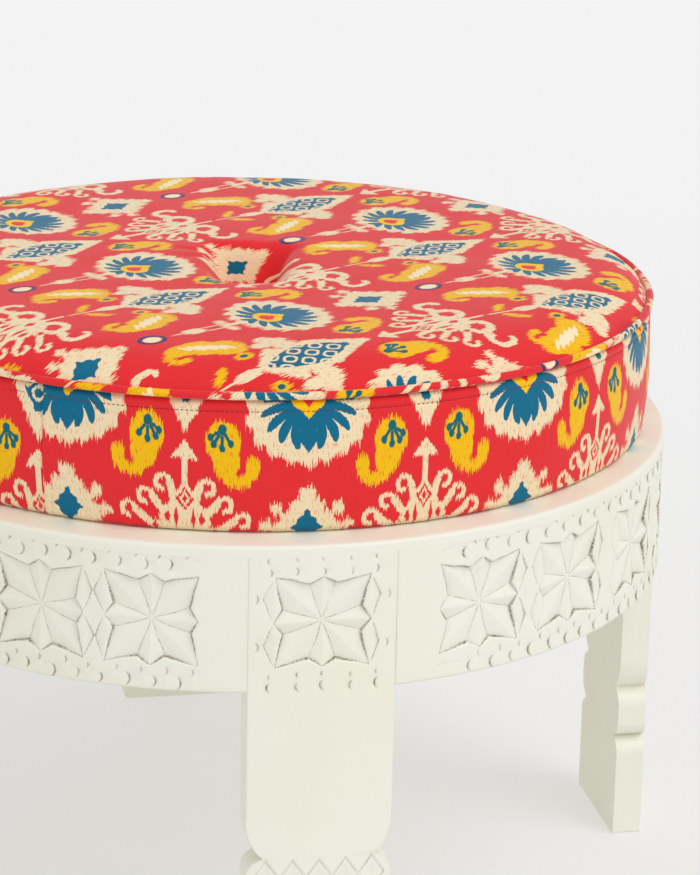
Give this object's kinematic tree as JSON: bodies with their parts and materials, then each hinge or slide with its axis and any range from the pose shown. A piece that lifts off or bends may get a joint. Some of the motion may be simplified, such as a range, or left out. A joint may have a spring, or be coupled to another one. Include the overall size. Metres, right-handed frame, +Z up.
{
  "type": "tuffet",
  "caption": "Round low stool: a carved, ivory-painted wooden base with flat board legs and a loose, patterned box cushion with a central tuft.",
  "frame": {"origin": "on the floor, under the middle of the round base", "axes": "+Z up; the legs stand on -Y, +X, +Y and -X, and -Y is the front"},
  "size_m": [0.6, 0.6, 0.4435],
  "materials": {
    "painted_wood": "ivory paint, satin, over carved hardwood, with brown dirt in the cuts",
    "bare_wood": "bare, sawn",
    "screw_steel": "yellow-passivated steel",
    "cushion_foam": "cut polyurethane foam",
    "printed_cotton": "woven cotton, ikat-like print in red, cream, blue, yellow, teal and navy",
    "twine": "waxed tufting twine"
  },
  "bodies": {
    "base": {"top_board": "painted_wood", "leg_front": "painted_wood", "leg_right": "painted_wood", "leg_back": "painted_wood", "leg_left": "painted_wood", "apron_front_right": "painted_wood", "apron_back_right": "painted_wood", "apron_back_left": "painted_wood", "apron_front_left": "painted_wood", "block_front": "bare_wood", "block_right": "bare_wood", "block_back": "bare_wood", "block_left": "bare_wood", "screw_front_leg_left": "screw_steel", "screw_front_leg_right": "screw_steel", "screw_front_top_left": "screw_steel", "screw_front_top_right": "screw_steel", "screw_right_leg_left": "screw_steel", "screw_right_leg_right": "screw_steel", "screw_right_top_left": "screw_steel", "screw_right_top_right": "screw_steel", "screw_back_leg_left": "screw_steel", "screw_back_leg_right": "screw_steel", "screw_back_top_left": "screw_steel", "screw_back_top_right": "screw_steel", "screw_left_leg_left": "screw_steel", "screw_left_leg_right": "screw_steel", "screw_left_top_left": "screw_steel", "screw_left_top_right": "screw_steel"},
    "cushion": {"cushion_foam": "cushion_foam", "cushion_cover_top": "printed_cotton", "cushion_cover_boxing": "printed_cotton", "cushion_cover_bottom": "printed_cotton", "cushion_welt": "printed_cotton", "tuft_button": "printed_cotton", "tuft_anchor": "bare_wood", "tuft_twine": "twine"}
  },
  "joints": [
    {"name": "cushion_lift", "type": "slide", "parent": "base", "child": "cushion", "axis": [0, 0, 1], "range_m": [0, 0.15]}
  ]
}
